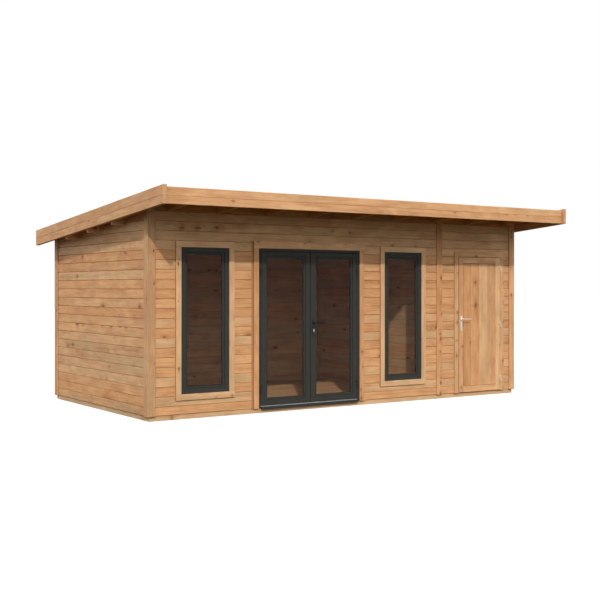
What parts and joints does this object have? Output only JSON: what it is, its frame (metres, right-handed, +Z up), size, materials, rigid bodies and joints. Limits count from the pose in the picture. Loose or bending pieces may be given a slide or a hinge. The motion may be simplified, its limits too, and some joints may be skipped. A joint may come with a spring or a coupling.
{
  "type": "garden house with store",
  "caption": "Timber garden house with a pent roof, front overhang, glazed double doors between tall fixed windows, and a side store with its own boarded door.",
  "frame": {"origin": "centre of the footprint, on the ground, under the middle floor joist", "axes": "+X to the right along the front, +Y to the back, +Z up"},
  "size_m": [6.434, 4.066, 2.712],
  "materials": {
    "wall_wood": "impregnated boards, satin",
    "trim_wood": "impregnated planed boards, satin",
    "base_wood": "impregnated sawn timber, matt",
    "floor_wood": "planed floor boards, satin",
    "roof_wood": "planed boards, matt",
    "roof_felt": "mineral felt, matt",
    "dark_frame": "dark grey paint, satin",
    "window_glass": "clear sealed pane",
    "threshold_metal": "satin",
    "dark_metal": "dark grey, satin",
    "zinc_metal": "zinc plated, satin"
  },
  "bodies": {
    "house": {"long_bearers": "base_wood", "end_bearers": "base_wood", "floor_joists": "base_wood", "floor_boards": "floor_wood", "front_wall_left": "wall_wood", "front_wall_over_doors": "wall_wood", "front_wall_right": "wall_wood", "store_wall_left": "wall_wood", "store_wall_over_door": "wall_wood", "store_wall_right": "wall_wood", "left_wall": "wall_wood", "right_wall": "wall_wood", "back_wall": "wall_wood", "cross_wall": "wall_wood", "front_left_corner_trim": "trim_wood", "front_right_corner_trim": "trim_wood", "back_left_corner_trim": "trim_wood", "back_right_corner_trim": "trim_wood", "cross_wall_trim": "trim_wood", "left_window_architrave": "trim_wood", "left_window_frame": "dark_frame", "left_window_glass": "window_glass", "right_window_architrave": "trim_wood", "right_window_frame": "dark_frame", "right_window_glass": "window_glass", "door_architrave": "trim_wood", "door_frame": "dark_frame", "door_threshold": "threshold_metal", "door_hinge_pins": "dark_metal", "store_architrave": "trim_wood", "store_lining": "trim_wood", "store_hinge_pins": "zinc_metal", "rafters": "roof_wood", "outlookers": "roof_wood", "eaves_blocks": "wall_wood", "roof_boards": "roof_wood", "roof_felt": "roof_felt", "front_fascia": "trim_wood", "back_fascia": "trim_wood", "barge_boards": "trim_wood"},
    "left_door": {"left_leaf_frame": "dark_frame", "left_leaf_glass": "window_glass", "left_leaf_hinges": "dark_metal"},
    "right_door": {"right_leaf_frame": "dark_frame", "right_leaf_glass": "window_glass", "right_leaf_hinges": "dark_metal", "right_leaf_lock_plates": "dark_metal"},
    "right_lever": {"right_leaf_lever": "dark_metal"},
    "store_door": {"store_leaf_frame": "trim_wood", "store_leaf_boards": "wall_wood", "store_leaf_hinges": "zinc_metal", "store_leaf_lock_plates": "zinc_metal"},
    "store_lever": {"store_leaf_lever": "zinc_metal"}
  },
  "joints": [
    {"name": "left_door_hinge", "type": "hinge", "parent": "house", "child": "left_door", "pos_m": [-1.4425, -1.519, 1], "axis": [0, 0, -1], "range_deg": [0, 100]},
    {"name": "right_door_hinge", "type": "hinge", "parent": "house", "child": "right_door", "pos_m": [0.0705, -1.519, 1], "axis": [0, 0, 1], "range_deg": [0, 100]},
    {"name": "right_lever_turn", "type": "hinge", "parent": "right_door", "child": "right_lever", "pos_m": [-0.639, -1.488, 1.12], "axis": [0, 1, 0], "range_deg": [0, 40], "stiffness_Nm_per_rad": 2, "springref_deg": -28.65},
    {"name": "store_door_hinge", "type": "hinge", "parent": "house", "child": "store_door", "pos_m": [2.7145, -1.537, 1], "axis": [0, 0, 1], "range_deg": [0, 100]},
    {"name": "store_lever_turn", "type": "hinge", "parent": "store_door", "child": "store_lever", "pos_m": [1.939, -1.506, 1.12], "axis": [0, 1, 0], "range_deg": [0, 40], "stiffness_Nm_per_rad": 2, "springref_deg": -28.65}
  ]
}
